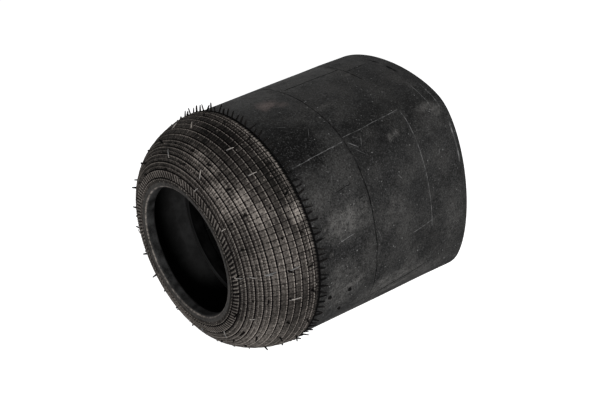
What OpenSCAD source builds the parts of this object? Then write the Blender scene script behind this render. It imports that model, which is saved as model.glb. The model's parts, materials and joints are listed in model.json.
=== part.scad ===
// Air suspension spring: a rolling-lobe rubber bellows, lying on its side as it is stored.
// The sleeve lies along X and rests on its lower side. The upper bead is at the origin, which is
// the centre of its seat in the plane of its wire ring. The free end sags out of round.

/* [Sleeve wall] */
// Outer radius of the smooth sleeve
sleeve_r = 124.8; // [112:0.1:140]
// Length over everything as stored
stored_length = 310; // [250:1:360]
// Thickness of the cover rubber
cover_t = 1.6; // [1.2:0.1:2]
// Thickness of one cord ply
ply_t = 0.7; // [0.5:0.05:0.9]
// Thickness of the inner liner
liner_t = 1.6; // [1:0.1:2]
// Outer radius of the fold at the rolling lobe
lobe_r = 9; // [8:0.5:9.5]

/* [Sag of the free end] */
// How far the section is drawn out along its long diagonal, in hundredths of the sleeve's radius
sag_oval = 11.7; // [6:0.1:13]
// Direction of the long diagonal, from the top towards the near side
sag_oval_dir = -37; // [-45:1:-25]
// How far the section is squared to four corners, in hundredths of the radius
sag_square = 4; // [2:0.1:4.4]
// Direction of the first of the four corners
sag_square_dir = 38; // [34:1:44]
// How far the flats between the corners are pressed in, in six places, in hundredths of the radius
sag_flats = 0.9; // [0.4:0.1:1.1]
// Direction of the first of the six outer places between them
sag_flats_dir = -16; // [-20:1:-12]
// How far the free end leans towards the near side, in hundredths of the radius
sag_lean = 2.6; // [0:0.1:6]
// Growth of the sag along the sleeve: 1 is even, more keeps it to the free end
sag_growth = 1; // [0.8:0.1:2]

/* [Upper end] */
// Radius of the upper bead seat
upper_seat_r = 67.5; // [60:0.5:70]
// Width of the upper bead's front face beside the seat
upper_face_w = 7.5; // [6.5:0.5:10]
// How far the moulded shoulder's back edge stands over the sleeve
shoulder_step = 1.4; // [1.3:0.1:2.5]
// Length of the moulded shoulder
shoulder_length = 64; // [55:1:80]
// How far the shoulder's curve keeps to the line of the front face
upper_face_lead = 36; // [28:1:40]
// How far the shoulder's curve keeps to the line of the sleeve
upper_rim_lead = 16; // [12:1:30]

/* [Lower end] */
// Radius of the lower bead seat
lower_seat_r = 72; // [62:0.5:74]
// Width of the lower bead's face beside the seat
lower_face_w = 7; // [6.5:0.5:10]
// Length of the lower shoulder
lower_shoulder_length = 50; // [44:1:70]
// How far the lower shoulder's curve keeps to the line of the bead's face
lower_face_lead = 19; // [17:1:20]
// How far the lower shoulder's curve keeps to the line of the inner sleeve
lower_rim_lead = 23; // [20:1:26]
// Distance from the upper wire ring to the lower one as stored
bead_spacing = 60; // [50:1:90]

/* [Beads] */
// Length of the straight part of each seat
seat_length = 7.5; // [7:0.5:10]
// Thickness of the wear strip at the seat
chafer_t = 1.3; // [1:0.1:2]
// Radius of the wire bundle
core_r = 3.2; // [2.8:0.1:3.6]
// Clearance between the wires of a bundle
wire_gap = 0.04; // [0.02:0.01:0.1]
// Height of the rubber apex over the wire ring, as a share of the shoulder's height over it
apex_share = 0.45; // [0.3:0.01:0.6]
// Height of the turned-up ply ends over the wire ring, as a share of the apex's height
turn_up_share = 0.5; // [0.3:0.05:0.8]

/* [Moulded net and whiskers] */
// Number of moulded rings on the shoulder
ring_count = 12; // [8:1:13]
// Distance from the front face's edge to the first ring
ring_start = 2.5; // [1.5:0.1:6]
// How much wider the rings stand near the bead than at the back edge
ring_spread = 0.12; // [0:0.01:0.2]
// Width of a ring's ridge, and of the groove beside it
ring_w = 1; // [0.6:0.1:1.2]
// Height of a ridge and depth of a groove
ring_h = 0.45; // [0.2:0.05:0.6]
// Number of whiskers at the back edge
whisker_count = 120; // [60:1:140]
// Diameter of a whisker
whisker_d = 1; // [0.6:0.1:1.1]
// Length of a whisker
whisker_length = 8; // [5:0.5:11]
// The bellows can come to rest on one whisker in this many
resting_every = 5; // [4:1:6]
// How far a whisker leans away from the sleeve
whisker_lean = 36; // [10:1:36]

/* [Hidden] */

// Depths of the layer boundaries below the cover's face
outer_ply_at = cover_t;
inner_ply_at = outer_ply_at + ply_t;
liner_at = inner_ply_at + ply_t;
wall_t = liner_at + liner_t;

// Radii round the wire ring: the bundle, then the plies that wrap it
outer_ply_bend = core_r + ply_t;
inner_ply_bend = outer_ply_bend + ply_t;
// What the wall gains at a bead: the bundle and the turned-up plies
swell = 2 * core_r + 2 * ply_t;
bead_w = wall_t + swell;

// Radius over the moulded shoulder at its back edge
fringe_r = sleeve_r + shoulder_step;

// Radius of the inside-out wall's liner face, where the lower shoulder starts
inner_wall_r = sleeve_r - 2 * lobe_r + wall_t;

// An end is one row of values, in this order:
// seat radius, radius at the foot of the curve, radius at the back edge, length, rubber on its
// domed side, rubber on its hollow side, what the domed side stands proud of the wall behind it,
// whether the plies come from the hollow side (1) or along the domed side (0), and how far the
// curve keeps to the line of the face and of the wall behind it
UPPER = [
    upper_seat_r, upper_seat_r + upper_face_w, fringe_r, shoulder_length, cover_t, liner_t,
    shoulder_step, 1, upper_face_lead, upper_rim_lead
];
LOWER = [
    lower_seat_r, lower_seat_r + lower_face_w, inner_wall_r, lower_shoulder_length, liner_t, cover_t,
    0, 0, lower_face_lead, lower_rim_lead
];
function seat_r(e) = e[0];
function face_r(e) = e[1];
function rim_r(e) = e[2];
function reach(e) = e[3];
function domed_t(e) = e[4];
function hollow_t(e) = e[5];
function proud(e) = e[6];
function main_side(e) = e[7];
function face_lead(e) = e[8];
function rim_lead(e) = e[9];
// Depth of the wire ring's plane behind the front face, the wire ring's radius, and the heights of
// the rubber apex and of the turned-up plies over it
function core_depth(e) = domed_t(e) + inner_ply_bend;
function ring_r(e) = seat_r(e) + chafer_t + inner_ply_bend;
function apex_height(e) = apex_share * (rim_r(e) - ring_r(e));
function turn_up(e) = turn_up_share * apex_height(e);

// Along X: front face, back edge of the shoulder, start of the fold, lower bead, lower back edge
front_x = -core_depth(UPPER);
shoulder_x = front_x + shoulder_length;
fold_x = front_x + stored_length - lobe_r;
lower_front_x = bead_spacing - core_depth(LOWER);
lower_back_x = lower_front_x + lower_shoulder_length;

// Fineness: points round a section, steps along each stretch of wall
section_points = 48;
sleeve_steps = 4;
lobe_steps = 6;
inner_steps = 3;
curve_steps = 24;
face_steps = 4;
arc_step = 15;

function mix(a, b, t) = a + (b - a) * t;
function ease(u) = let (v = max(0, min(1, u))) v * v * (3 - 2 * v);

// The domed face of an end: the flat front face from the wire ring out, for places from -1 to 0, and
// a curve back to the shoulder's edge for places from 0 to 1. A place gives
// [radius, distance behind the front face, slope].
function curve_points(e) = [
    [face_r(e), 0], [face_r(e) + face_lead(e), 0],
    [rim_r(e), reach(e) - rim_lead(e)], [rim_r(e), reach(e)]
];
function bezier(p, t) = pow(1 - t, 3) * p[0] + 3 * t * pow(1 - t, 2) * p[1]
    + 3 * t * t * (1 - t) * p[2] + pow(t, 3) * p[3];
function bezier_slope(p, t) = let (v = pow(1 - t, 2) * (p[1] - p[0]) + 2 * t * (1 - t) * (p[2] - p[1])
    + t * t * (p[3] - p[2])) atan2(v[1], v[0]);
function face_at(e, s) = let (p = curve_points(e))
    s < 0 ? [mix(face_r(e), ring_r(e), -s), 0, 0] : concat(bezier(p, s), bezier_slope(p, s));
function at_depth(e, s, depth) = let (p = face_at(e, s))
    [p[0] - depth * sin(p[2]), p[1] + depth * cos(p[2])];

// Every layer has its corners at the same stations, so that layers meet without a gap: from
// -face_steps at the wire ring, up the front face to 0 and along the curve to curve_steps
function station(k) = k < 0 ? k / face_steps : k / curve_steps;
function station_at(e, height) =
    max([for (k = [0:curve_steps]) if (face_at(e, station(k))[0] <= ring_r(e) + height) k]);

// How much of the bead's swelling is left at a place on the face, and how far the face stands proud
function swelling(e, s) = swell * (1 - ease((face_at(e, s)[0] - ring_r(e)) / apex_height(e)));
function standing(e, s) = proud(e) * ease((face_at(e, s)[0] - face_r(e)) / (rim_r(e) - face_r(e)));

// A layer boundary that wraps the wire ring at radius q: on the hollow side it carries the
// swelling, on the domed side it doesn't
function side_point(e, k, q, hollow) = let (s = station(k)) at_depth(e, s, standing(e, s)
    + (hollow == 1 ? core_depth(e) + q - swell + swelling(e, s) : core_depth(e) - q));
function side(e, from, to, q, hollow) =
    [for (k = [from:(to > from ? 1 : -1):to]) side_point(e, k, q, hollow)];
function round_core(e, q, from, to) = [
    for (a = [from:(to > from ? arc_step : -arc_step):to])
        if (a != from && a != to) [ring_r(e) + q * cos(a), core_depth(e) + q * sin(a)]
];

module revolved(points, x) {
    translate([x, 0, 0]) rotate([0, 90, 0]) rotate_extrude($fn = 96) polygon(points);
}

// A cord ply of an end: down to the bead, round the wire ring and up again
module end_ply(e, q_in, q_out, x) {
    m = main_side(e);
    from = m == 1 ? 90 : 270;
    to = m == 1 ? 270 : 90;
    end = station_at(e, turn_up(e));
    revolved(concat(
        side(e, curve_steps, -face_steps, q_out, m), round_core(e, q_out, from, to),
        side(e, -face_steps, end, q_out, 1 - m), side(e, end, -face_steps, q_in, 1 - m),
        round_core(e, q_in, to, from), side(e, -face_steps, curve_steps, q_in, m)
    ), x);
}

// The rubber apex over the wire ring, between the ply and its turned-up end
module end_filler(e, x) {
    m = main_side(e);
    end = station_at(e, turn_up(e));
    tip = station_at(e, apex_height(e));
    from = m == 1 ? 90 : -90;
    revolved(concat(
        side(e, tip, -face_steps, core_r, m), round_core(e, core_r, from, -from),
        side(e, -face_steps, end, core_r, 1 - m), side(e, end, tip - 1, inner_ply_bend, 1 - m)
    ), x);
}

// The rubber on the hollow side of an end, from the bead's wear strip to the back edge
module hollow_rubber(e, x) {
    revolved(concat(
        side(e, -face_steps, curve_steps, inner_ply_bend, 1),
        side(e, curve_steps, -face_steps, inner_ply_bend + hollow_t(e), 1)
    ), x);
}

module end_chafer(e, x) {
    edge = (bead_w - seat_length) / 2;
    r = ring_r(e);
    revolved(concat(
        [[r, 0], [seat_r(e) + edge, 0], [seat_r(e), edge], [seat_r(e), bead_w - edge],
            [seat_r(e) + edge, bead_w], [r, bead_w], [r, core_depth(e) + inner_ply_bend]],
        round_core(e, inner_ply_bend, 90, 270),
        [[r, core_depth(e) - inner_ply_bend]]
    ), x);
}

// A bundle of 19 wires, three, four, five, four and three to a row
module end_core(e, x) {
    pitch = core_r / 2.5;
    translate([x + core_depth(e), 0, 0]) rotate([0, 90, 0]) rotate_extrude($fn = 96)
        for (row = [-2:2])
            for (i = [0:4 - abs(row)])
                translate([ring_r(e) + (i - (4 - abs(row)) / 2) * pitch, row * pitch * sin(60)])
                    circle(d = pitch - wire_gap, $fn = 12);
}

// The shoulder's outer face with its rings, whose places are arc lengths from the front face's edge
arc_points = 48;
arc_table = [
    for (i = 0, l = 0; i <= arc_points;
        l = l + norm(at_depth(UPPER, (i + 1) / arc_points, 0) - at_depth(UPPER, i / arc_points, 0)),
        i = i + 1)
        [l, i / arc_points]
];
shoulder_arc = arc_table[arc_points][0];
function ring_at(i) = let (f = i / ring_count)
    ring_start + (shoulder_arc - ring_start) * f * (1 + ring_spread * (1 - f));
function ring_profile() = [
    for (i = [0:ring_count - 1]) let (l = ring_at(i), next = ring_at(i + 1))
        for (p = [
            [l - ring_w, 0], [l - ring_w / 2, ring_h], [l, 0], [l + ring_w / 2, -ring_h], [l + ring_w, 0],
            [mix(l, next, 0.5), 0]
        ]) at_depth(UPPER, lookup(p[0], arc_table), -p[1])
];

// The section of the sleeve, a depth below its face. Angles run from the top towards the near
// side. How far the face lies out in each direction is the round radius and a share of the sag, so
// every layer lies at its own depth all round and the girth stays the same all along the sleeve.
function sag_shape(a) = sleeve_r / 100 * (sag_oval * cos(2 * (a - sag_oval_dir))
    + sag_square * cos(4 * (a - sag_square_dir)) + sag_flats * cos(6 * (a - sag_flats_dir))
    + sag_lean * sin(a));
function sag_turn(a) = sleeve_r / 100 * (-2 * sag_oval * sin(2 * (a - sag_oval_dir))
    - 4 * sag_square * sin(4 * (a - sag_square_dir)) - 6 * sag_flats * sin(6 * (a - sag_flats_dir))
    + sag_lean * cos(a));
// The free end is lifted or lowered so that it rests on the same ground as the shoulder
sag_lift = sleeve_r + sag_shape(180) - fringe_r;
function section(x, share, depth) = [
    for (i = [0:section_points - 1])
        let (
            a = 360 * i / section_points,
            h = sleeve_r - depth + share * (sag_shape(a) + sag_lift * cos(a)),
            t = share * (sag_turn(a) - sag_lift * sin(a))
        )
        [x, -h * sin(a) - t * cos(a), h * cos(a) - t * sin(a)]
];
function sag_share(x, from, to) = pow((x - from) / (to - from), sag_growth);

// A closed wall between two rows of sections
module wall(outside, inside) {
    n = section_points;
    rows = len(outside);
    under = rows * n;
    function at(row, i) = row * n + i % n;
    faces = concat(
        [for (r = [0:rows - 2]) for (i = [0:n - 1]) each [
            [at(r, i), at(r + 1, i), at(r + 1, i + 1)], [at(r, i), at(r + 1, i + 1), at(r, i + 1)],
            [under + at(r, i), under + at(r + 1, i + 1), under + at(r + 1, i)],
            [under + at(r, i), under + at(r, i + 1), under + at(r + 1, i + 1)]
        ]],
        [for (i = [0:n - 1]) each [
            [at(0, i), at(0, i + 1), under + at(0, i + 1)],
            [at(0, i), under + at(0, i + 1), under + at(0, i)],
            [at(rows - 1, i), under + at(rows - 1, i + 1), at(rows - 1, i + 1)],
            [at(rows - 1, i), under + at(rows - 1, i), under + at(rows - 1, i + 1)]
        ]]
    );
    polyhedron(points = concat([for (s = outside) each s], [for (s = inside) each s]), faces = faces);
}

function between(a, b, n) = [for (i = [0:n]) mix(a, b, i / n)];
function sleeve_sections(depth) = [
    for (x = between(shoulder_x, fold_x, sleeve_steps)) section(x, sag_share(x, shoulder_x, fold_x), depth)
];
function lobe_sections(depth) = [
    for (a = between(0, 180, lobe_steps))
        section(fold_x + (lobe_r - depth) * sin(a), 1, lobe_r - (lobe_r - depth) * cos(a))
];
function inner_sections(depth) = [
    for (x = between(fold_x, lower_back_x, inner_steps))
        section(x, sag_share(x, lower_back_x, fold_x), 2 * lobe_r - depth)
];
module sleeve_layer(top, bottom) { wall(sleeve_sections(top), sleeve_sections(bottom)); }
module lobe_layer(top, bottom) { wall(lobe_sections(top), lobe_sections(bottom)); }
module inner_layer(top, bottom) { wall(inner_sections(top), inner_sections(bottom)); }

module upper_shoulder_cover() {
    color([0.23, 0.22, 0.21])
        revolved(concat(
            [[ring_r(UPPER), 0], [face_r(UPPER), 0]], ring_profile(), [[fringe_r, shoulder_length]],
            side(UPPER, curve_steps, -face_steps, inner_ply_bend, 0)
        ), front_x);
}

// Whiskers stand on the step behind the shoulder. Those underneath lie flat, pressed by the ground.
module whiskers(chosen) {
    root_r = (fringe_r + sleeve_r) / 2;
    buried = whisker_d;
    color([0.09, 0.09, 0.09])
        intersection() {
            for (i = chosen) {
                a = 360 * (i + 0.5) / whisker_count;
                down = -cos(a);
                room = down > 0.1 ? fringe_r / down - root_r - whisker_d / 2 : whisker_length;
                lean = min(whisker_lean * (1 + 0.2 * sin(97 * i)), asin(min(1, room / whisker_length)));
                rotate([a, 0, 0]) translate([shoulder_x, 0, root_r]) rotate([0, 90 - lean, 0])
                    translate([0, 0, -buried]) cylinder(d = whisker_d, h = whisker_length + buried, $fn = 16);
            }
            translate([shoulder_x, -2 * fringe_r, -2 * fringe_r])
                cube([2 * whisker_length, 4 * fringe_r, 4 * fringe_r]);
        }
}
function rests(i) = i % resting_every == resting_every - 1;
module fringe_whiskers() { whiskers([for (i = [0:whisker_count - 1]) if (!rests(i)) i]); }
module resting_whiskers() { whiskers([for (i = [0:whisker_count - 1]) if (rests(i)) i]); }

module upper_bead_chafer() { color([0.13, 0.12, 0.12]) end_chafer(UPPER, front_x); }
module upper_bead_core() { color([0.72, 0.6, 0.38]) end_core(UPPER, front_x); }
module upper_bead_filler() { color([0.16, 0.16, 0.17]) end_filler(UPPER, front_x); }
module upper_ply_outer() { color([0.5, 0.43, 0.33]) end_ply(UPPER, core_r, outer_ply_bend, front_x); }
module upper_ply_inner() {
    color([0.42, 0.36, 0.28]) end_ply(UPPER, outer_ply_bend, inner_ply_bend, front_x);
}
module upper_liner() { color([0.12, 0.12, 0.13]) hollow_rubber(UPPER, front_x); }

module sleeve_cover() { color([0.1, 0.1, 0.1]) sleeve_layer(0, outer_ply_at); }
module sleeve_ply_outer() { color([0.5, 0.43, 0.33]) sleeve_layer(outer_ply_at, inner_ply_at); }
module sleeve_ply_inner() { color([0.42, 0.36, 0.28]) sleeve_layer(inner_ply_at, liner_at); }
module sleeve_liner() { color([0.12, 0.12, 0.13]) sleeve_layer(liner_at, wall_t); }

module lobe_cover() { color([0.1, 0.1, 0.1]) lobe_layer(0, outer_ply_at); }
module lobe_ply_outer() { color([0.5, 0.43, 0.33]) lobe_layer(outer_ply_at, inner_ply_at); }
module lobe_ply_inner() { color([0.42, 0.36, 0.28]) lobe_layer(inner_ply_at, liner_at); }
module lobe_liner() { color([0.12, 0.12, 0.13]) lobe_layer(liner_at, wall_t); }

module inner_sleeve_cover() { color([0.1, 0.1, 0.1]) inner_layer(0, outer_ply_at); }
module inner_sleeve_ply_outer() { color([0.5, 0.43, 0.33]) inner_layer(outer_ply_at, inner_ply_at); }
module inner_sleeve_ply_inner() { color([0.42, 0.36, 0.28]) inner_layer(inner_ply_at, liner_at); }
module inner_sleeve_liner() { color([0.12, 0.12, 0.13]) inner_layer(liner_at, wall_t); }

module lower_shoulder_cover() { color([0.1, 0.1, 0.1]) hollow_rubber(LOWER, lower_front_x); }
module lower_ply_outer() {
    color([0.5, 0.43, 0.33]) end_ply(LOWER, core_r, outer_ply_bend, lower_front_x);
}
module lower_ply_inner() {
    color([0.42, 0.36, 0.28]) end_ply(LOWER, outer_ply_bend, inner_ply_bend, lower_front_x);
}
module lower_liner() {
    color([0.12, 0.12, 0.13])
        revolved(concat(
            [for (k = [-face_steps:curve_steps]) at_depth(LOWER, station(k), 0)],
            side(LOWER, curve_steps, -face_steps, inner_ply_bend, 0)
        ), lower_front_x);
}
module lower_bead_chafer() { color([0.13, 0.12, 0.12]) end_chafer(LOWER, lower_front_x); }
module lower_bead_core() { color([0.72, 0.6, 0.38]) end_core(LOWER, lower_front_x); }
module lower_bead_filler() { color([0.16, 0.16, 0.17]) end_filler(LOWER, lower_front_x); }

upper_shoulder_cover();
fringe_whiskers();
resting_whiskers();
upper_bead_chafer();
upper_bead_core();
upper_bead_filler();
upper_ply_outer();
upper_ply_inner();
upper_liner();
sleeve_cover();
sleeve_ply_outer();
sleeve_ply_inner();
sleeve_liner();
lobe_cover();
lobe_ply_outer();
lobe_ply_inner();
lobe_liner();
inner_sleeve_cover();
inner_sleeve_ply_outer();
inner_sleeve_ply_inner();
inner_sleeve_liner();
lower_shoulder_cover();
lower_ply_outer();
lower_ply_inner();
lower_liner();
lower_bead_chafer();
lower_bead_core();
lower_bead_filler();
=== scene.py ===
# %% [markdown]
# # A rolling-lobe bellows from an air suspension spring
# This is the rubber part of a truck's air spring, lying on its side. It has a moulded shoulder with a
# net of rings and ribs, a smooth sleeve, and a fold where the sleeve turns back inside itself.
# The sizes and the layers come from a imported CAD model. Here each soft layer is made again as a finer
# mesh and gets its rubber. The CAD pieces that nobody sees, such as the wire rings, stay as they are.

# %% Load the frame
import json
import math
from functools import reduce
from types import SimpleNamespace

import bpy
import numpy as np
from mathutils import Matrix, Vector


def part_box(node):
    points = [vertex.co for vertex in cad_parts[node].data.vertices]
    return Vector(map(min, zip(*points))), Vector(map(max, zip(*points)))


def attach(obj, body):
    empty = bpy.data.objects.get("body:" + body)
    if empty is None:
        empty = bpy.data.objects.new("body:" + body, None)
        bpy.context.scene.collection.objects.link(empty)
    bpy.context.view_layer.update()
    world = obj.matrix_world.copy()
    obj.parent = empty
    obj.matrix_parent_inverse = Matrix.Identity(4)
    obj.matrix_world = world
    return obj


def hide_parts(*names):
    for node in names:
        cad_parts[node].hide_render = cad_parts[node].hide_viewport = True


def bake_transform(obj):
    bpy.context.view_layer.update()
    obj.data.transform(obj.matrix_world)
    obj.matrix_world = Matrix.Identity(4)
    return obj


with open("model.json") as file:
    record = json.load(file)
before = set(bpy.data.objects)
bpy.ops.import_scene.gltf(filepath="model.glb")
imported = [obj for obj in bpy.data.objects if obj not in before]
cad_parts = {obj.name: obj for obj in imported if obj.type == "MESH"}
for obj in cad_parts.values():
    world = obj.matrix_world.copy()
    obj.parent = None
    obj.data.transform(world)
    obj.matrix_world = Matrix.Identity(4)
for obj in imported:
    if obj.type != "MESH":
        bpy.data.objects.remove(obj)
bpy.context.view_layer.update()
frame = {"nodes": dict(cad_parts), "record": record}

# %% [markdown]
# ## Sizes
# Blender works in metres. A name such as MM keeps small sizes readable. Whatever the frame can tell is
# asked of it, so the meshes still fit when the CAD model changes. The few sizes that a box can't tell,
# such as the thickness of a layer, repeat the CAD model's values.

# %% Sizes of the bellows
MM = 0.001
mounts = {mount["name"]: mount for mount in frame["record"]["mounts"]}
front_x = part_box("upper_shoulder_cover")[0].x
shoulder_x, fold_x = (corner.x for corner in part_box("sleeve_cover"))
fringe_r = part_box("upper_shoulder_cover")[1].z
lobe_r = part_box("lobe_cover")[1].x - fold_x
lower_front_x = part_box("lower_liner")[0].x
lower_back_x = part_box("inner_sleeve_cover")[0].x
inner_wall_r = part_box("lower_liner")[1].z
upper_seat_r = mounts["upper_bead_seat"]["dims"]["r_mm"] * MM
lower_seat_r = mounts["lower_bead_seat"]["dims"]["r_mm"] * MM
cover_t, ply_t, liner_t = 1.6 * MM, 0.7 * MM, 1.6 * MM
shoulder_step, chafer_t, core_r, seat_length = 1.4 * MM, 1.3 * MM, 3.2 * MM, 7.5 * MM
wall_t = cover_t + 2 * ply_t + liner_t
swell = 2 * core_r + 2 * ply_t
bead_w = wall_t + swell
ply_bend = core_r + 2 * ply_t
sleeve_r = fringe_r - shoulder_step
sleeve_length = fold_x - shoulder_x
print(f"sleeve radius {sleeve_r:.4f}, sleeve length {sleeve_length:.4f}, fold radius {lobe_r:.4f} m")


# %% [markdown]
# ## The section of the sagging sleeve
# Rubber that lies on a shelf doesn't stay round, but its girth doesn't change. A support function
# gives such a shape: for each direction it says how far out the surface lies. Adding waves of two,
# four and six turns to a circle sags it, and every layer inside is the same shape, a little less far
# out. Points at even steps of arc keep the rubber's grain from stretching at the corners.

# %% Section of the sleeve
SAG_WAVES = [(2, 0.117, -37), (4, 0.04, 38), (6, 0.009, -16)]
SAG_LEAN = 0.026
COLUMNS = 288


def sag(angle):
    """How far the sag moves the surface out, its derivative and its integral over the angle."""
    out, turn, total = SAG_LEAN * np.sin(angle), SAG_LEAN * np.cos(angle), -SAG_LEAN * np.cos(angle)
    for waves, share, start in SAG_WAVES:
        phase = waves * (angle - math.radians(start))
        out = out + share * np.cos(phase)
        turn = turn - waves * share * np.sin(phase)
        total = total + share / waves * np.sin(phase)
    return sleeve_r * out, sleeve_r * turn, sleeve_r * total


# This lift of the sagging end rests its underside on the ground, level with the shoulder's edge
sag_lift = sleeve_r + float(sag(np.array(math.pi))[0]) - fringe_r


def girth_at(share, angle):
    """Arc from the top to the place whose surface faces this angle."""
    _, turn, total = sag(angle)
    _, turn_top, total_top = sag(np.zeros(1))
    return sleeve_r * angle + share * (total - total_top + turn - turn_top)


def share_at(x):
    """How much of the sag there is at x, from 0 at the shoulder to 1 at the fold."""
    return (x - shoulder_x) / sleeve_length


def arc_to(x, degrees):
    """Arc from the top to the place on the sleeve at x that faces this way."""
    return float(girth_at(share_at(x), np.radians([float(degrees)]))[0])


# %% One row of points round the sleeve
def facing(share):
    """Angles that the surface faces at even steps of arc, from the seam underneath round to it again."""
    fine = np.linspace(-1.4 * math.pi, 1.4 * math.pi, 6000)
    arcs = np.linspace(-math.pi, math.pi, COLUMNS, endpoint=False) * sleeve_r
    return np.interp(arcs, girth_at(share, fine), fine)


def section(x, share, depth, dents=0.0):
    """One row of points round the sleeve at x, at a depth below the cover's face."""
    angle = facing(share)
    out, turn, _ = sag(angle)
    far = sleeve_r - depth + dents + share * (out + sag_lift * np.cos(angle))
    side = share * (turn - sag_lift * np.sin(angle))
    y = -far * np.sin(angle) - side * np.cos(angle)
    z = far * np.cos(angle) - side * np.sin(angle)
    return np.stack([np.full(len(angle), x), y, z], axis=1)


girth = 2 * math.pi * sleeve_r
print(f"girth of the sleeve {girth:.3f} m")


# %% [markdown]
# ## Rows of points into a mesh
# Every layer here is a closed ring: rows of points that run round the axis, the last row joined to the
# first. One helper builds them all. It also writes a UV map in metres, with U round the girth from
# the top and V along the wall, so that seams and marks can be placed like on a cutting pattern.

# %% Mesh from rows
def in_scene(name, data):
    """A new object in the scene that shows a mesh, a camera or a lamp."""
    made = bpy.data.objects.new(name, data)
    bpy.context.scene.collection.objects.link(made)
    return made


def ring_mesh(name, rows, along, sharp=40):
    """A piece from R x N x 3 points and R + 1 places along. Edges over sharp degrees stay sharp."""
    count, columns = rows.shape[:2]
    j, i = np.meshgrid(np.arange(count), np.arange(columns), indexing="ij")
    here, after, i_next = j * columns, (j + 1) % count * columns, (i + 1) % columns
    quads = np.stack([here + i, here + i_next, after + i_next, after + i], -1)
    around = np.linspace(-0.5, 0.5, columns + 1) * girth
    u = np.stack([around[i], around[i + 1], around[i + 1], around[i]], -1)
    along = np.asarray(along)
    v = np.stack([along[j], along[j], along[j + 1], along[j + 1]], -1)
    points, quads = rows.reshape(-1, 3), quads.reshape(-1, 4)
    a, b, c, d = (points[quads[:, k]] for k in range(4))
    volume = np.einsum("ij,ij->i", a, np.cross(b, c) + np.cross(c, d)).sum() / 6
    uv = np.stack([u.reshape(-1, 4), v.reshape(-1, 4)], -1)
    if volume < 0:
        quads, uv = quads[:, ::-1], uv[:, ::-1]
    mesh = bpy.data.meshes.new(name)
    mesh.from_pydata(points.tolist(), [], quads.tolist())
    mesh.uv_layers.new(name="wall").data.foreach_set("uv", np.ascontiguousarray(uv, np.float32).ravel())
    mesh.shade_smooth()
    mesh.set_sharp_from_angle(angle=math.radians(sharp))
    print(f"{name}: {len(quads)} faces, {abs(volume) * 1e6:.1f} ml")
    return in_scene(name, mesh)


# %% Points round the axis, and ramps
def round_axis(x, r, angle):
    """Points at x and radius r, turned round the X axis by an angle from the top."""
    return np.stack(np.broadcast_arrays(x, -r * np.sin(angle), r * np.cos(angle)), axis=-1)


def ramp(value, start, end):
    """0 before start, 1 after end, and a straight line between."""
    return np.clip((value - start) / (end - start), 0, 1)


def fade(value, start, end):
    """The same ramp, but smooth at both ends."""
    f = ramp(value, start, end)
    return f * f * (3 - 2 * f)


# %% [markdown]
# ## The curve of an end
# Each end of the wall runs from the flat face beside its bead over a curve to the straight sleeve. A
# Bezier curve with its handles on those two lines has no kink. Offsets from it, square to the curve,
# give the boundaries between the layers, and at the bead the wall swells round the wire ring.

# %% Curve of an end
# The swelling round the wire ring ends this share of the way from the ring to the rim
APEX_SHARE = 0.45


class End:
    """The curve and the layers of one end of the wall, from its flat face to where the sleeve starts."""

    def __init__(self, seat_r, face_w, rim_r, reach, leads, domed_t, proud, front):
        self.ring_r = seat_r + chafer_t + ply_bend
        self.face_r, self.rim_r, self.proud, self.front = seat_r + face_w, rim_r, proud, front
        self.seat_r, self.core_depth = seat_r, domed_t + ply_bend
        self.corners = np.array([
            [self.face_r, 0], [self.face_r + leads[0], 0], [rim_r, reach - leads[1]], [rim_r, reach],
        ])
        self.apex_r = self.ring_r + APEX_SHARE * (rim_r - self.ring_r)
        self.fine = np.linspace(0, 1, 2001)
        steps = np.linalg.norm(np.diff(self.place(self.fine)[0], axis=0), axis=1)
        self.arcs = np.concatenate([[0], np.cumsum(steps)])
        self.arc = float(self.arcs[-1])

    def place(self, s):
        """(radius, distance behind the front) and the slope's unit vector, for places from -1 to 1."""
        s = np.asarray(s, float)
        t = np.clip(s, 0, 1)[:, None]
        p = self.corners
        u = 1 - t
        point = u**3 * p[0] + 3 * t * u**2 * p[1] + 3 * t * t * u * p[2] + t**3 * p[3]
        point[:, 0] += np.minimum(s, 0) * (self.face_r - self.ring_r)
        run = u**2 * (p[1] - p[0]) + 2 * t * u * (p[2] - p[1]) + t * t * (p[3] - p[2])
        return point, run / np.linalg.norm(run, axis=1, keepdims=True)

    def at_length(self, length):
        """The place that lies this far along the curve from the edge of the flat face."""
        length = np.asarray(length, float)
        flat = np.minimum(length, 0) / (self.face_r - self.ring_r)
        return np.interp(length, self.arcs, self.fine) + flat

    def boundary(self, s, depth):
        """(x, radius) points at a depth below the domed face."""
        point, run = self.place(s)
        x, r = self.front + point[:, 1] + depth * run[:, 0], point[:, 0] - depth * run[:, 1]
        return np.stack([x, r], axis=1)

    def side(self, s, q, hollow):
        """A boundary that wraps the wire ring at radius q, on the hollow side or on the domed side.

        The layers lie deeper towards the rim, where the cover stands proud of the sleeve. On the
        hollow side they also come back up again beyond the apex, where the swelling ends.
        """
        r = self.place(s)[0][:, 0]
        depth = self.proud * fade(r, self.face_r, self.rim_r) + self.core_depth
        if hollow:
            return self.boundary(s, depth + q - swell * fade(r, self.ring_r, self.apex_r))
        return self.boundary(s, depth - q)


# %% Both ends
upper = End(
    seat_r=upper_seat_r, face_w=7.5 * MM, rim_r=fringe_r, reach=shoulder_x - front_x,
    leads=(36 * MM, 16 * MM), domed_t=cover_t, proud=shoulder_step, front=front_x,
)
lower = End(
    seat_r=lower_seat_r, face_w=7 * MM, rim_r=inner_wall_r, reach=lower_back_x - lower_front_x,
    leads=(19 * MM, 23 * MM), domed_t=liner_t, proud=0, front=lower_front_x,
)
print(f"arc of the upper shoulder {upper.arc:.4f} m, of the lower one {lower.arc:.4f} m")

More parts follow.
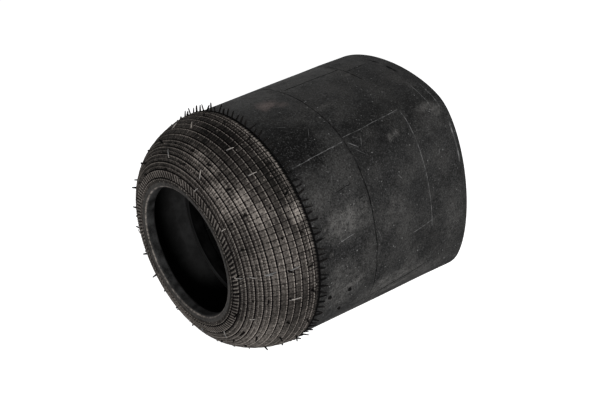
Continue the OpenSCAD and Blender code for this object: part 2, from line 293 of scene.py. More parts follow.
# %% [markdown]
# ## The moulded shoulder
# The mould for this shoulder was scored with rings and with short ribs across them, which let the air
# out while the rubber flowed. They leave a net of thin ridges, each with a groove beside it. A texture
# could fake that, but the ridges show on the outline and catch the light, so the net is real mesh:
# rows at each ring, columns at each rib, and the height added square to the curve.

# %% Net of rings and ribs
RINGS, RING_START, RING_SPREAD = 12, 2.5 * MM, 0.12
RIBS, RIDGE_H, GROOVE_D = 120, 0.55 * MM, 0.9 * MM
# Near the hole the ribs lean, and the net gives way to slanting strands like a rope's
SLANT_FROM, SLANT = 20 * MM, 0.5
ROPE_END, ROPE_FADE = 13 * MM, 3 * MM
ROPE = [0.6, 0.1, -0.5, -0.7, -0.4, 0.3, 0.7, 0.8]
# Steps along the wall in millimetres from each ring, then in shares of the band between two rings,
# then round the wall in shares of a rib. Each step has a height: 1 a ridge's crest, -1 a groove's floor
RIDGE = [(-1.5, 0), (-1.15, 1), (-0.5, 1), (-0.15, -1), (0.85, -1), (1.2, 0)]
BETWEEN = [(0.2, 0), (0.38, 1), (0.48, 0), (0.6, -1), (0.8, 0)]
ACROSS = [(-0.17, 0), (-0.08, 1), (-0.01, -1), (0.1, -1), (0.18, 0), (0.45, 1), (0.52, -1), (0.64, 0)]
# Of the steps across, this many first ones make the rib and the rest a half rib between two ribs
MAIN_RIB = 5
HALF_RING_SHARE, RIB_SHARE, HALF_RIB_SHARE = 0.5, 0.5, 0.4


# %% Rows and columns of the net
def ring_place(i):
    """How far along the curve ring i lies. The rings stand a little closer towards the back."""
    f = i / RINGS
    return RING_START + (upper.arc - RING_START) * f * (1 + RING_SPREAD * (1 - f))


# Each row has its length along the curve, the height of a ring and of a half ring, and the band it is in
net_rows = [(-(upper.face_r - upper.ring_r), 0, 0, -1), (0.0, 0, 0, -1), (RING_START * 0.35, 0, 0, -1)]
for i in range(RINGS):
    here, after = ring_place(i), ring_place(i + 1)
    net_rows += [(here + o * MM, h, 0, i) for o, h in RIDGE]
    if i < RINGS - 1:
        start, end = here + RIDGE[-1][0] * MM, after + RIDGE[0][0] * MM
        net_rows += [(start + f * (end - start), 0, h, i) for f, h in BETWEEN]
net_rows += [(upper.arc - 1.2 * MM, 0, 0, RINGS), (upper.arc - 0.4 * MM, 0, 0, RINGS)]
net_length, net_ring, net_half, net_band = (np.array(part, float)[:, None] for part in zip(*net_rows))
columns = RIBS * len(ACROSS)
rib_places = np.array([(k + offset) / RIBS for k in range(RIBS) for offset, _ in ACROSS])
net_angle = rib_places * 2 * math.pi - math.pi
rib_main = np.tile([float(h) if n < MAIN_RIB else 0.0 for n, (_, h) in enumerate(ACROSS)], RIBS)
rib_half = np.tile([float(h) if n >= MAIN_RIB else 0.0 for n, (_, h) in enumerate(ACROSS)], RIBS)
rib_number = np.arange(columns) // len(ACROSS)

# %% Height of the net
# Half rings and half ribs fill the band near the hole and a narrow one at the back edge
fine_zone = np.maximum(
    ramp(net_length, 50 * MM, 40 * MM) * ramp(net_length, 9 * MM, 13 * MM),
    ramp(net_length, upper.arc - 17 * MM, upper.arc - 14 * MM),
)
net_edge = RING_START * 0.3
on_net = ramp(net_length, net_edge, net_edge + 1 * MM)
rope_zone = ramp(net_length, ROPE_END, ROPE_END - ROPE_FADE)
rng = np.random.default_rng(7)
soft = 0.7 + 0.5 * rng.random((len(net_length), RIBS))[:, rib_number]
# Where a rib crosses, a ring's crest is broken into dashes
dashes = 1 - 0.75 * ((rib_half < 0) | (rib_main < 0))
rings = net_ring * np.where(net_ring > 0, dashes, 1) + HALF_RING_SHARE * fine_zone * net_half
ribs = RIB_SHARE * rib_main * on_net * (1 - rope_zone) + HALF_RIB_SHARE * fine_zone * on_net * rib_half
strands = np.where(net_ring < 0, -1, np.tile(ROPE, RIBS)) * rope_zone * on_net
height = (rings + ribs) * (1 - 0.5 * rope_zone) + strands
uneven = 0.25 + 0.9 * np.roll(soft, 1, axis=1) - 0.25 * (net_ring < 0)
net = np.clip(height, -1, 1) * np.clip(soft, 0, 1) * np.clip(1 - rope_zone * (1 - uneven), 0, 1)
height = np.where(net > 0, RIDGE_H, GROOVE_D) * net
tile = rng.random((RINGS + 2, RIBS))[net_band[:, 0].astype(int) + 1][:, rib_number]
slant = SLANT * np.clip(SLANT_FROM - np.maximum(net_length, 0), 0, None) / upper.face_r
print(f"{RINGS} rings, {RIBS} ribs, {height.size} points on the net")

# %% Build the shoulder
point, run = upper.place(upper.at_length(net_length[:, 0]))
x = upper.front + point[:, 1:] - height * run[:, :1]
r = point[:, :1] + height * run[:, 1:]
face_rows = round_axis(x, r, net_angle + slant)
back = [
    (shoulder_x - 0.1 * MM, fringe_r - 0.1 * MM),
    (shoulder_x, fringe_r - 0.5 * MM),
    (shoulder_x, sleeve_r - cover_t),
]
under = upper.side(np.linspace(1, -1, 24)[1:], ply_bend, False)
rest = np.concatenate([back, under])
rest_angle = net_angle + np.linspace(0, 1, len(rest))[:, None] * slant[0]
rest_rows = round_axis(rest[:, :1], rest[:, 1:], rest_angle)
along = np.concatenate([net_length[:, 0] - upper.arc, np.linspace(0, 60 * MM, len(rest) + 1)])
moulded_shoulder = ring_mesh("moulded_shoulder", np.concatenate([face_rows, rest_rows]), along, sharp=75)
# The paint reads the net's height and a random number for each tile. At the very back edge and on the rows
# behind the net the height is set low, so that they are painted black: a painted shadow of the shoulder's
# step
net[net_length[:, 0] > upper.arc - 1.5 * MM] = -0.9
for name, values, behind in (("relief", 0.5 + 0.5 * net, 0.1), ("tile", tile, 0.5)):
    values = np.concatenate([values, np.full((len(rest), columns), behind)]).astype(np.float32)
    moulded_shoulder.data.attributes.new(name, "FLOAT", "POINT").data.foreach_set("value", values.ravel())
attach(moulded_shoulder, "upper_end")
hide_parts("upper_shoulder_cover")

# %% [markdown]
# ## Whiskers
# A whisker is rubber that flowed into a vent hole of the mould. A row of them stands behind the
# shoulder's back edge, and others are scattered over the net. Straight cylinders would look like
# nails, so each whisker is a tapered tube along a bent line, with its root inside the cover.

# %% Whisker helper
SIDES = 7
# Shares of a whisker's length and of its full thickness there
TAPER = [(0, 1.05), (0.25, 0.95), (0.5, 0.85), (0.75, 0.72), (0.93, 0.55), (1, 0.2)]
# How deep the root goes into the cover, and how thick it is there, in shares of the thickness
ROOT_DEPTH, ROOT_SHARE = 1.2, 1.1


def tube(points, radii):
    """Corners and faces of a closed tube along a line of points."""
    corners, faces = [], []
    last = len(points) - 1
    for k, p in enumerate(points):
        ahead = (points[min(k + 1, last)] - points[max(k - 1, 0)]).normalized()
        first = (first - ahead * first.dot(ahead) if k else ahead.orthogonal()).normalized()
        second = ahead.cross(first)
        for n in range(SIDES):
            turn = 2 * math.pi * n / SIDES
            corners.append(p + radii[k] * (math.cos(turn) * first + math.sin(turn) * second))
    for start in range(0, last * SIDES, SIDES):
        for n in range(SIDES):
            m = (n + 1) % SIDES
            faces.append((start + n, start + m, start + SIDES + m, start + SIDES + n))
    faces.append(tuple(reversed(range(SIDES))))
    faces.append(tuple(range(last * SIDES, (last + 1) * SIDES)))
    return corners, faces


# %% Many whiskers in one mesh
def whisker_piece(name, whiskers):
    """One mesh of many whiskers. Each is (root, way out, way it bends, length, thickness)."""
    corners, faces = [], []
    for root, out, bend, length, thick in whiskers:
        line = [root - out * thick * ROOT_DEPTH]
        line += [root + out * length * f + bend * length * f * f for f, _ in TAPER]
        radii = [thick / 2 * share for share in (ROOT_SHARE, *(share for _, share in TAPER))]
        new_corners, new_faces = tube(line, radii)
        faces += [tuple(v + len(corners) for v in face) for face in new_faces]
        corners += new_corners
    mesh = bpy.data.meshes.new(name)
    mesh.from_pydata(corners, [], faces)
    mesh.shade_smooth()
    print(f"{name}: {len(whiskers)} whiskers")
    return in_scene(name, mesh)


def outward(angle):
    return Vector((0, -math.sin(angle), math.cos(angle)))


# %% Row of whiskers behind the shoulder
FRINGE, WHISKER_L, WHISKER_D = 120, 9.5 * MM, 2.2 * MM
root_r = sleeve_r + shoulder_step * 0.55
row = []
# Sines of large steps scatter the lengths and the ways out. Whiskers on top stand more upright, and
# underneath none reaches down past the shoulder's edge, which lies on the ground
for i in range(FRINGE):
    angle = 2 * math.pi * (i + 0.5) / FRINGE
    root = Vector((shoulder_x, 0, 0)) + outward(angle) * root_r
    length = room = WHISKER_L * (0.8 + 0.2 * math.sin(97 * i) * math.sin(31 * i))
    if -math.cos(angle) > 0.1:
        room = max(0.0, fringe_r / -math.cos(angle) - root_r - WHISKER_D * 0.6)
    upright = 30 + 46 * max(0.0, math.cos(angle + 0.35)) ** 2 + 10 * math.sin(53 * i)
    lean = min(math.radians(upright), math.asin(min(1, room / length)))
    sideways = outward(angle + math.pi / 2) * 0.3 * math.sin(71 * i)
    out = (Vector((math.cos(lean), 0, 0)) + outward(angle) * math.sin(lean) + sideways).normalized()
    curl = outward(angle) * (-0.1 * math.sin(lean) * (1 + math.sin(29 * i)))
    row.append((root, out, curl, length, WHISKER_D * (0.85 + 0.15 * math.sin(17 * i))))
fringe = whisker_piece("fringe", row)
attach(fringe, "upper_end")
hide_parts("fringe_whiskers", "resting_whiskers")

# %% Scattered whiskers on the net
# Vents lie in lines out from the hole, one line to every 15 degrees, and their rubber stands, lies or
# is broken off short. Four more on the near side are long and thin
VENT_LENGTHS, VENT_STEP, VENT_START = (11, 24, 38, 59, 79), 15, 3.2
LONG_ONES = [(38, 78.2), (59, 78.4), (59, 93.5), (8, 80)]


def net_whisker(length_mm, degrees, kind):
    """A whisker on the net, this far along its curve. Near the ground it is short, to clear it."""
    angle = math.radians(degrees)
    where = upper.at_length([length_mm * MM])
    (x, r), = upper.boundary(where, 0)
    run = upper.place(where)[1][0]
    out = Vector((-run[0], 0, 0)) + outward(angle) * run[1]
    forward = Vector((run[1], 0, 0)) + outward(angle) * run[0]
    side = outward(angle + math.pi / 2)
    root = Vector((x, 0, 0)) + outward(angle) * r
    near_ground = math.cos(angle) < -0.75
    if kind == "long":
        first = (forward - side * 0.25 + out * 0.35).normalized()
        return root, first, -out * 0.2, 11 * MM, 1.3 * MM
    if kind == "lies":
        first = (forward * 0.9 + side * rng.normal() * 0.5 + out * 0.42).normalized()
        length = (6.5 + 2 * rng.random()) * (0.5 if near_ground else 1)
        return root, first, -out * 0.2, length * MM, 1.0 * MM
    lean = forward * rng.normal() * 0.3 + side * rng.normal() * 0.3
    length = 2.2 if kind == "stub" or near_ground else 4.2 + 2 * rng.random()
    return root, (out + lean).normalized(), lean * 0.2, length * MM, (2.0 + 0.3 * rng.random()) * MM


standing_whiskers, lying_whiskers = [], []
for length_mm in VENT_LENGTHS:
    for k in range(360 // VENT_STEP):
        kind = rng.choice(["stub", "stands", "lies", "none"], p=[0.3, 0.4, 0.2, 0.1])
        degrees = VENT_START + VENT_STEP * k + rng.normal() * 0.8
        if kind != "none":
            made = net_whisker(length_mm + rng.normal() * 0.6, degrees, kind)
            (lying_whiskers if kind == "lies" else standing_whiskers).append(made)
lying_whiskers += [net_whisker(length_mm, degrees, "long") for length_mm, degrees in LONG_ONES]
vent_whiskers = whisker_piece("vent_whiskers", standing_whiskers)
bent_whiskers = whisker_piece("bent_whiskers", lying_whiskers)
for piece in (vent_whiskers, bent_whiskers):
    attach(piece, "upper_end")

# %% [markdown]
# ## Beads and linings
# A bead grips its seat with a wear strip of rubber and fabric, and the wall behind it is lined. In the
# CAD model their corners are straight. Small roundings catch light as moulded rubber does, and many
# short steps make the curves smooth. Their outer edges stay where they are, so nothing else moves.

# %% Turned pieces
TURNED_COLUMNS = 240


def turned(name, profile, body, node, sharp=40):
    """A piece turned round the X axis from a closed profile of (x, radius) points."""
    profile = np.asarray(profile, float)
    steps = np.linalg.norm(np.roll(profile, -1, axis=0) - profile, axis=1)
    angle = np.linspace(-math.pi, math.pi, TURNED_COLUMNS, endpoint=False)
    rows = round_axis(profile[:, :1], profile[:, 1:], angle)
    piece = ring_mesh(name, rows, np.concatenate([[0.0], np.cumsum(steps)]), sharp)
    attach(piece, body)
    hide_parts(node)
    return piece


# %% Wear strips of the beads
CORNER_R, CORNER_STEPS = 1.2 * MM, 5


def rounded(corners):
    """A closed profile with each (x, radius, rounding) corner turned into an arc."""
    points = []
    for k, (x, r, rounding) in enumerate(corners):
        here = np.array([x, r])
        if not rounding:
            points.append(here)
            continue
        before = np.array(corners[k - 1][:2]) - here
        after = np.array(corners[k + 1][:2]) - here
        before, after = before / np.linalg.norm(before), after / np.linalg.norm(after)
        start, end = here + before * rounding, here + after * rounding
        for f in np.linspace(0, 1, CORNER_STEPS):
            points.append((1 - f) ** 2 * start + 2 * f * (1 - f) * here + f * f * end)
    return points


def bead_strip(name, end, body, node):
    """The strip round a bead: front, seat with slanting edges, back, and the hollow for the plies."""
    edge = (bead_w - seat_length) / 2
    x0, x1, ring = end.front, end.front + bead_w, end.ring_r
    wrap = [
        (end.front + end.core_depth + ply_bend * math.sin(a), ring + ply_bend * math.cos(a), 0)
        for a in np.radians(np.arange(90, 271, 12))
    ]
    corners = [
        (x0, ring, 0), (x0, end.seat_r + edge, CORNER_R), (x0 + edge, end.seat_r, CORNER_R),
        (x1 - edge, end.seat_r, CORNER_R), (x1, end.seat_r + edge, CORNER_R), (x1, ring, 0),
    ]
    return turned(name, rounded(corners + wrap), body, node, sharp=50)


upper_bead_strip = bead_strip("upper_bead_strip", upper, "upper_end", "upper_bead_chafer")
lower_bead_strip = bead_strip("lower_bead_strip", lower, "lower_end", "lower_bead_chafer")

# %% Linings and the lower shoulder
fine_places = np.concatenate([np.linspace(-1, 0, 4)[:-1], np.linspace(0, 1, 60)])


def skin(name, one, other, body, node):
    """A layer between two boundaries."""
    return turned(name, np.concatenate([one, other[::-1]]), body, node)


upper_lining = skin(
    "upper_lining",
    upper.side(fine_places, ply_bend, True), upper.side(fine_places, ply_bend + liner_t, True),
    "upper_end", "upper_liner",
)
lower_lining = skin(
    "lower_lining", lower.boundary(fine_places, 0), lower.side(fine_places, ply_bend, False),
    "lower_end", "lower_liner",
)
lower_shoulder = skin(
    "lower_shoulder",
    lower.side(fine_places, ply_bend, True), lower.side(fine_places, ply_bend + cover_t, True),
    "lower_end", "lower_shoulder_cover",
)

# %% [markdown]
# ## The sleeve and its fold
# The outer wall and the fold are one skin in each layer, so each is one mesh here. Long flat walls of
# soft rubber are never quite flat: a few broad dents, shared by all four layers, and a groove that the
# wrapping left in the cover make the light wander over it.

# %% Dents and the groove
GROOVE_X, GROOVE_DEEP, GROOVE_W = 139 * MM, 0.55 * MM, 0.55 * MM
ARC_PER_DEGREE = 2.2 * MM
# Each dent is (how far out, x, angle, half its length, half its width), in mm and degrees
DENTS = [
    (0.9, 150, 100, 45, 16), (-0.7, 97, 93, 30, 7), (0.6, 200, 100, 34, 6), (-0.8, 190, 60, 60, 25),
    (0.7, 110, 45, 35, 22), (-0.6, 235, 20, 30, 20), (0.5, 250, -20, 26, 16), (-0.7, 120, 5, 40, 20),
    (0.6, 170, -60, 60, 30), (-0.7, 210, -110, 50, 25), (0.6, 110, -130, 40, 25), (-0.5, 240, 150, 40, 20),
]
arc_places = np.linspace(-0.5, 0.5, COLUMNS, endpoint=False) * girth


def dents_at(x):
    """How far the whole wall stands out at each column of the row at x."""
    total = np.zeros(COLUMNS)
    for size, at_x, at_angle, long, wide in DENTS:
        middle = arc_to(x, at_angle)
        off = (arc_places - middle + girth / 2) % girth - girth / 2
        total += size * MM * np.exp(-((x / MM - at_x) / long) ** 2 - (off / (wide * ARC_PER_DEGREE)) ** 2)
    return total * fade(x, shoulder_x, shoulder_x + 14 * MM) * fade(fold_x - x, 0, 16 * MM)


def groove_at(x):
    """How far the cover's face stands out at the groove: below zero, and deepest on the near side."""
    near = 0.45 + 0.55 * np.exp(-((arc_places - 120 * MM) / (95 * MM)) ** 2)
    return -GROOVE_DEEP * near * math.exp(-(((x - GROOVE_X) / GROOVE_W) ** 2))


# %% Sleeve layers
even_places = np.linspace(shoulder_x, fold_x, 59)
away_from_groove = even_places[abs(even_places - GROOVE_X) > 2 * MM]
groove_places = GROOVE_X + np.array([-1.4, -0.8, -0.4, 0, 0.4, 0.8, 1.4]) * MM
sleeve_places = np.unique(np.concatenate([away_from_groove, groove_places]))
fold_turns = np.linspace(0, math.pi, 19)[1:]


def outer_rows(depth, places, groove=False):
    """Rows of one face of a layer along the sleeve and round the fold."""
    rows = []
    for x in places:
        rows.append(section(x, share_at(x), depth, dents_at(x) + (groove_at(x) if groove else 0)))
    bend_r = lobe_r - depth
    for turn in fold_turns:
        rows.append(section(fold_x + bend_r * math.sin(turn), 1, lobe_r - bend_r * math.cos(turn)))
    return rows


# %% Layers of the outer wall
# Each layer is (its name in the CAD model, its slot, how deep its outer face lies, and its inner face)
WALL = [
    ("cover", "sleeve_rubber", 0, cover_t),
    ("ply_outer", "cord_ply", cover_t, cover_t + ply_t),
    ("ply_inner", "cord_ply", cover_t + ply_t, cover_t + 2 * ply_t),
    ("liner", "liner_rubber", cover_t + 2 * ply_t, wall_t),
]


def outer_layer(name, layer, slot, top, bottom):
    """One layer of sleeve and fold. Only the cover has the groove, and closer rows there."""
    groove = layer == "cover"
    under_places = np.linspace(shoulder_x, fold_x, 30) if groove else sleeve_places[::2]
    places = sleeve_places if groove else under_places
    rows = outer_rows(top, places, groove) + outer_rows(bottom, under_places)[::-1]
    fold_lengths = sleeve_length + lobe_r * fold_turns
    lengths = np.concatenate([
        places - shoulder_x, fold_lengths, fold_lengths[::-1], (under_places - shoulder_x)[::-1], [0],
    ])
    piece = ring_mesh(name, np.array(rows), lengths, sharp=60)
    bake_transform(piece)
    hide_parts(f"sleeve_{layer}", f"lobe_{layer}")
    return piece


OUTER_NAMES = ["outer_cover", "outer_ply", "second_ply", "outer_lining"]
outer_cover, *outer_plies, outer_lining = (
    outer_layer(name, *layer) for name, layer in zip(OUTER_NAMES, WALL)
)

# %% Vent stubs on the sleeve
# Three vents of the sleeve's mould left short stubs, cut off after moulding. Each is (x in mm, angle)
STUBS = [(101.5, 99.5), (73.8, 101), (94.6, 113)]
STUB_L, STUB_D = 1.8 * MM, 4.4 * MM
stubs = []
for x_mm, degrees in STUBS:
    row = section(x_mm * MM, share_at(x_mm * MM), 0)
    column = int(round((arc_to(x_mm * MM, degrees) / girth + 0.5) * COLUMNS)) % COLUMNS
    root = Vector(row[column])
    stubs.append((root, outward(math.radians(degrees)), Vector((0, 0, 0)), STUB_L, STUB_D))
sleeve_stubs = whisker_piece("sleeve_stubs", stubs)
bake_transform(sleeve_stubs)

# %% [markdown]
# ## The wall that runs back inside
# Behind the fold the same wall runs back inside out, to the lower shoulder. It gets longer or shorter
# as the fold rolls.

# %% Inner sleeve layers
inner_places = np.linspace(fold_x, lower_back_x, 36)


def inner_layer(name, layer, slot, top, bottom):
    """One layer of the inner wall, the other way out than in the sleeve."""
    shares = (inner_places - lower_back_x) / (fold_x - lower_back_x)
    rows = [section(x, share, 2 * lobe_r - top) for x, share in zip(inner_places, shares)]
    rows += [section(x, share, 2 * lobe_r - bottom) for x, share in zip(inner_places, shares)][::-1]
    start = sleeve_length + math.pi * lobe_r
    lengths = start + fold_x - inner_places
    lengths = np.concatenate([lengths, lengths[::-1], [start]])
    piece = ring_mesh(name, np.array(rows), lengths, sharp=50)
    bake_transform(piece)
    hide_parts(f"inner_sleeve_{layer}")
    return piece


INSIDE_NAMES = ["inside_cover", "inside_outer_ply", "inside_inner_ply", "inside_lining"]
inside_cover, *inside_plies, inside_lining = (
    inner_layer(name, *layer) for name, layer in zip(INSIDE_NAMES, WALL)
)

# %% [markdown]
# ## Shader groups
# Node groups are to materials what functions are to code. Each group here takes a few named numbers
# and gives a mask or a height between 0 and 1: dust that lies in drifts, fine grain, small scratches,
# ragged patches, specks, and lines at a place on the wall's UV map. The shaders stay in the materials.
# A node's output is wrapped, so that a sum in the code becomes Math nodes.

# %% Node helpers
def node(tree, kind, **settings):
    made = tree.nodes.new(kind)
    for key, value in settings.items():
        setattr(made, key, value)
    return made


def plug(target, value):
    """Links a wrapped output, or writes a number or a colour, into a socket."""
    if isinstance(value, Wire):
        value.tree.links.new(value.socket, target)
    else:
        target.default_value = value


def filled(made, values, output=0):
    """Plugs (input, value) pairs into a node and wraps one of its outputs."""
    for key, value in values:
        plug(made.inputs[key], value)
    return Wire(made.outputs[output])


def tree_of(values):
    return next(value.tree for value in values if isinstance(value, Wire))


def maths(operation, *values, clamp=False):
    made = node(tree_of(values), "ShaderNodeMath", operation=operation, use_clamp=clamp)
    return filled(made, enumerate(values))


def most(a, b):
    return maths("MAXIMUM", a, b)


# %% Wrapped outputs
class Wire:
    """A node's output. Sums with it make Math nodes, and its methods make the other nodes."""

    def __init__(self, socket):
        self.socket, self.tree = socket, socket.id_data

    def __add__(self, other):
        return maths("ADD", self, other)

    def __sub__(self, other):
        return maths("SUBTRACT", self, other)

    def __rsub__(self, other):
        return maths("SUBTRACT", other, self)

    def __mul__(self, other):
        return maths("MULTIPLY", self, other)

    def __truediv__(self, other):
        return maths("DIVIDE", self, other)

    def __abs__(self):
        return maths("ABSOLUTE", self)

    def mapped(self, low, high, to_low=0.0, to_high=1.0):
        """A smooth step between two values, from to_low to to_high."""
        made = node(self.tree, "ShaderNodeMapRange", interpolation_type="SMOOTHSTEP")
        return filled(made, enumerate((self, low, high, to_low, to_high)))

    def between(self, a, b):
        """The colour between a and b that this mask picks."""
        made = node(self.tree, "ShaderNodeMix", data_type="RGBA", clamp_factor=True)
        return filled(made, ((0, self), (6, a), (7, b)), 2)

    def noise(self, scale, detail=4.0, rough=0.55):
        values = (("Vector", self), ("Scale", scale), ("Detail", detail), ("Roughness", rough))
        return filled(node(self.tree, "ShaderNodeTexNoise"), values, "Fac")


# %% Group helpers
def shader_group(name, output, **inputs):
    """A new group, its wrapped inputs, and its output. An input without a number is a place."""
    tree = bpy.data.node_groups.new(name, "ShaderNodeTree")
    for socket, value in inputs.items():
        kind = "NodeSocketVector" if value is None else "NodeSocketFloat"
        made = tree.interface.new_socket(socket, in_out="INPUT", socket_type=kind)
        if value is not None:
            made.default_value = value
    tree.interface.new_socket(output, in_out="OUTPUT", socket_type="NodeSocketFloat")
    outputs = node(tree, "NodeGroupInput").outputs
    ends = SimpleNamespace(**{socket: Wire(outputs[socket]) for socket in inputs})
    return tree, ends, node(tree, "NodeGroupOutput").inputs[0]


def placed(group, **values):
    """Puts a group into the tree that its inputs come from and gives its output."""
    return filled(node(tree_of(values.values()), "ShaderNodeGroup", node_tree=group), values.items())


# %% Dust group
dust, ends, out = shader_group("dust_drifts", "Mask", Place=None, Scale=18.0, Amount=0.5)
broad = ends.Place.noise(ends.Scale, 3.0, 0.5)
small = ends.Place.noise(ends.Scale * 9.0, 4.0, 0.65)
edge = 0.78 - ends.Amount * 0.5
plug(out, (broad * 0.65 + small * 0.35).mapped(edge - 0.12, edge + 0.14))

# %% Grain group
grain, ends, out = shader_group("rubber_grain", "Height", Place=None, Scale=900.0)
coarse = ends.Place.noise(ends.Scale * 0.12, 3.0, 0.55)
plug(out, ends.Place.noise(ends.Scale, 2.0, 0.6) * 0.5 + coarse * 0.5)

# %% Scratch group
scratch, ends, out = shader_group("fine_scratches", "Mask", Place=None, Turn=0.4, Amount=0.5)
spin = filled(node(scratch, "ShaderNodeCombineXYZ"), [("Z", ends.Turn)])
spun = node(scratch, "ShaderNodeVectorRotate", rotation_type="EULER_XYZ")
spun = filled(spun, [("Vector", ends.Place), ("Rotation", spin)])
stretched = node(scratch, "ShaderNodeMapping")
stretched = filled(stretched, [("Vector", spun), ("Scale", (22.0, 620.0, 40.0))])
limit = 0.83 - ends.Amount * 0.22
lines = stretched.noise(1.0, 3.0, 0.6).mapped(limit, limit + 0.06)
plug(out, lines * ends.Place.noise(34.0, 2.0, 0.5).mapped(0.48, 0.66))

# %% Patch group
patch, ends, out = shader_group(
    "soft_patch", "Mask", Across=0.0, Along=0.0, Ragged=0.5,
    AtAcross=0.0, AtAlong=0.0, HalfAcross=0.01, HalfAlong=0.01,
)
across = (ends.Across - ends.AtAcross) / ends.HalfAcross
along = (ends.Along - ends.AtAlong) / ends.HalfAlong
far = maths("SQRT", across * across + along * along) + (ends.Ragged - 0.5) * 2.2
plug(out, far.mapped(1.25, 0.1))

# %% Speck group
speck, ends, out = shader_group("dust_specks", "Mask", Place=None, Scale=300.0, Share=0.2, Size=0.25)
cells = node(speck, "ShaderNodeTexVoronoi")
cell_colour = filled(cells, [("Vector", ends.Place), ("Scale", ends.Scale)], "Color")
cell_number = filled(node(speck, "ShaderNodeSeparateColor"), [(0, cell_colour)])
near_middle = Wire(cells.outputs["Distance"]).mapped(ends.Size, ends.Size * 0.5)
plug(out, maths("LESS_THAN", cell_number, ends.Share) * near_middle)

# %% Line group
LINE_END = 2 * MM
line, ends, out = shader_group(
    "wrap_line", "Mask", Across=0.0, Along=0.0, Place=None,
    At=0.0, From=0.0, To=1.0, Width=0.001, Wear=0.5,
)
wander = (ends.Place.noise(26.0, 2.0) - 0.5) * 0.003
band = abs(ends.Across + wander - ends.At).mapped(ends.Width * 0.6, ends.Width * 0.3)
begin = ends.Along.mapped(ends.From - LINE_END, ends.From + LINE_END)
finish = ends.Along.mapped(ends.To + LINE_END, ends.To - LINE_END)
worn = ends.Place.noise(160.0, 3.0).mapped(0.6, 0.42) * ends.Wear
plug(out, band * (begin * finish) * (1.0 - worn))
print("shader groups:", [g.name for g in bpy.data.node_groups])

# %% [markdown]
# ## Rubber for the sleeve
# Black rubber is never one black. The sleeve has faint drifts of grey dust, a few brown smudges, hair
# scratches and the lines of the wrapping: thin light ridges, and grooves painted dark as painted shade.
# Two light lines by the fold's rim are a painted highlight, and a dark patch by the fold's top is painted
# shade of its crease. Each line is the line group once more with its own place on the UV map.

# %% Material helpers
BROWN, GREY_BROWN, RED_BROWN = (1.12, 1.0, 0.9), (1.03, 1.0, 0.96), (1.22, 0.98, 0.92)
BUMP = 0.2 * MM


def material(name, specular=0.0):
    """A new material, its shader's inputs, and the place of a point on the piece."""
    made = bpy.data.materials.new(name)
    made.use_nodes = True
    shader = made.node_tree.nodes["Principled BSDF"].inputs
    plug(shader["Specular IOR Level"], specular)
    return made, shader, Wire(node(made.node_tree, "ShaderNodeTexCoord").outputs["Object"])


def raised(shader, height, distance, strength=1.0):
    bump = node(height.tree, "ShaderNodeBump")
    values = (("Distance", distance), ("Strength", strength), ("Height", height))
    plug(shader["Normal"], filled(bump, values))


def colour(value, tint=(1, 1, 1)):
    return (value * tint[0], value * tint[1], value * tint[2], 1.0)


def wall_uv(tree):
    """The wall's UV map: metres round the girth, and metres along the wall."""
    parts = node(tree, "ShaderNodeSeparateXYZ")
    tree.links.new(node(tree, "ShaderNodeUVMap", uv_map="wall").outputs[0], parts.inputs[0])
    return Wire(parts.outputs[0]), Wire(parts.outputs[1])


# %% Marks of the wrapping
# Round lines: (x, from angle, to angle, width, light?). Lines along: (angle, from x, to x, width, light?)
ROUND_LINES = [
    # The dark lines are painted shade in grooves. The one at x 139 lies in the cover's real groove
    (139, -34, 112, 1.6, False), (231, 33, 84, 0.9, True), (275, 20, 40, 0.8, True),
    (139, 34, 52, 0.7, True), (232, -12, 8, 2.2, False),
    # These two light lines by the fold's rim are a painted highlight, not marks of the wrapping
    (292, 57, 70, 2.6, True), (288, 20, 44, 1.0, True),
]
LENGTH_LINES = [
    (33, 140, 229, 0.8, True), (38, 66, 137, 0.8, True), (83, 199, 231, 0.8, True),
    (57, 99, 122, 0.7, False), (0, 233, 268, 1.8, False), (-4.2, 142, 231, 2.2, False),
    (75.5, 86, 108, 0.7, True), (107, 140, 233, 1.6, False), (-75, 90, 230, 0.8, True),
    (-120, 70, 180, 0.8, True), (140, 120, 250, 0.8, False),
]


def behind_shoulder(x_mm):
    return x_mm * MM - shoulder_x


def wrap_marks(place):
    """Masks on the outer sleeve: the light lines, two of them a painted highlight, and the dark lines,
    painted shade in grooves.
    """
    u, v = wall_uv(place.tree)
    masks = {True: [], False: []}

    def add(width, light, **values):
        worn = 0.75 if light else 0.3
        masks[light].append(placed(line, Place=place, Width=width * MM, Wear=worn, **values))

    for x, start, end, *kind in ROUND_LINES:
        at = behind_shoulder(x)
        add(*kind, Across=v, Along=u, At=at, From=arc_to(x * MM, start), To=arc_to(x * MM, end))
    for angle, start, end, *kind in LENGTH_LINES:
        at = arc_to((start + end) / 2 * MM, angle)
        add(*kind, Across=u, Along=v, At=at, From=behind_shoulder(start), To=behind_shoulder(end))
    return reduce(most, masks[True]), reduce(most, masks[False])


